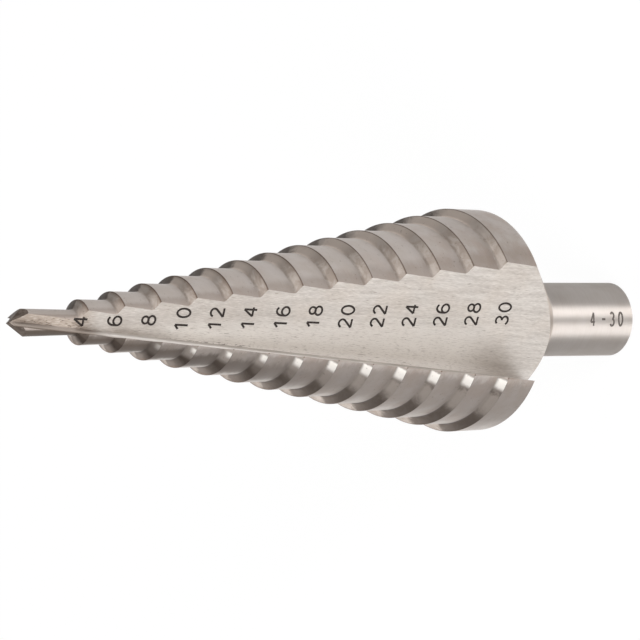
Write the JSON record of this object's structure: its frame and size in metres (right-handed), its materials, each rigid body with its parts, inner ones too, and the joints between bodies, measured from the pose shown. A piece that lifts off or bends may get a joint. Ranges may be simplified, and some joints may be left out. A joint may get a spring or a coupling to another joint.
{
  "type": "step drill",
  "caption": "Step drill for sheet metal: a stepped cone of lands and angled shoulders, cut by straight flutes, with a short pilot point and a plain round shank.",
  "frame": {"origin": "centre of the flat end face of the shank, on which the drill stands", "axes": "+Z along the drill's axis from the shank to the point, -Y out of the numbered flute, +X to the right of that flute as seen from the front"},
  "size_m": [0.0298, 0.026, 0.1],
  "materials": {
    "ground_steel": "ground and bright, with fine grinding lines"
  },
  "bodies": {
    "root": {"step_drill": "ground_steel"}
  },
  "joints": []
}
